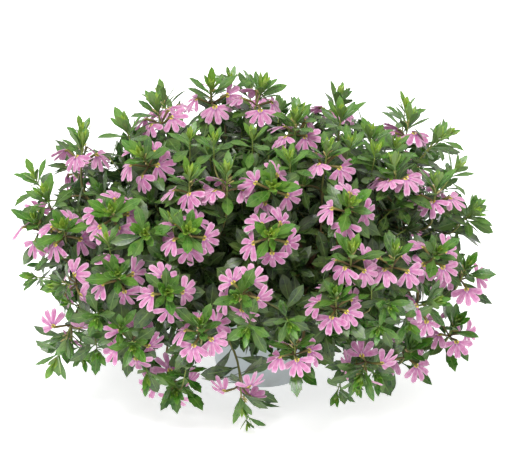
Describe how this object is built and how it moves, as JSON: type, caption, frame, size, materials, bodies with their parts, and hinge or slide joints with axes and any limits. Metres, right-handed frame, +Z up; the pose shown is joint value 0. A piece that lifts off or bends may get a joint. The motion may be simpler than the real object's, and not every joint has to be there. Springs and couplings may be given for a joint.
{
  "type": "potted plant",
  "caption": "Fan flower in a plain light-grey tapered pot: a wide mound of arching stems with toothed leaves and rings of pink, half-round blooms",
  "frame": {"origin": "the middle of the pot's flat underside, on the surface that the pot stands on", "axes": "+Z up; -Y is the side that the picture shows; +X is the picture's right, and the mound is widest along X"},
  "size_m": [0.4476, 0.4195, 0.2996],
  "materials": {
    "pot_plastic": "satin",
    "soil": "rough",
    "foliage": "satin",
    "petals": "matte"
  },
  "bodies": {
    "root": {"pot": "pot_plastic", "potting_soil": "soil", "leafy_stem_01": "foliage", "leafy_stem_02": "foliage", "leafy_stem_03": "foliage", "leafy_stem_04": "foliage", "leafy_stem_05": "foliage", "leafy_stem_06": "foliage", "leafy_stem_07": "foliage", "bloom_ring_01": "petals", "bloom_ring_02": "petals", "bloom_ring_03": "petals", "bloom_ring_04": "petals", "bloom_ring_05": "petals", "bloom_ring_06": "petals", "bloom_ring_07": "petals", "bloom_ring_08": "petals", "bloom_ring_09": "petals", "bloom_ring_10": "petals", "bloom_ring_11": "petals", "bloom_ring_12": "petals", "bloom_ring_13": "petals", "bloom_ring_14": "petals", "bloom_ring_15": "petals", "bloom_ring_16": "petals", "bloom_ring_17": "petals", "bloom_ring_18": "petals", "bloom_ring_19": "petals", "bloom_ring_20": "petals", "bloom_ring_21": "petals", "bloom_ring_22": "petals", "bloom_ring_23": "petals", "bloom_ring_24": "petals", "bloom_ring_25": "petals", "bloom_ring_26": "petals", "bloom_ring_27": "petals", "bloom_ring_28": "petals", "bloom_ring_29": "petals", "bloom_ring_30": "petals", "bloom_ring_31": "petals", "bloom_ring_32": "petals", "bloom_ring_33": "petals", "bloom_ring_34": "petals", "bloom_ring_35": "petals", "bloom_ring_36": "petals", "bloom_ring_37": "petals", "bloom_ring_38": "petals", "bloom_ring_39": "petals", "bloom_ring_40": "petals", "bloom_ring_41": "petals", "bloom_ring_42": "petals", "bloom_ring_43": "petals", "bloom_ring_44": "petals", "bloom_ring_45": "petals", "bloom_ring_46": "petals", "bloom_ring_47": "petals", "bloom_ring_48": "petals", "bloom_ring_49": "petals", "bloom_ring_50": "petals", "bloom_ring_51": "petals"}
  },
  "joints": []
}
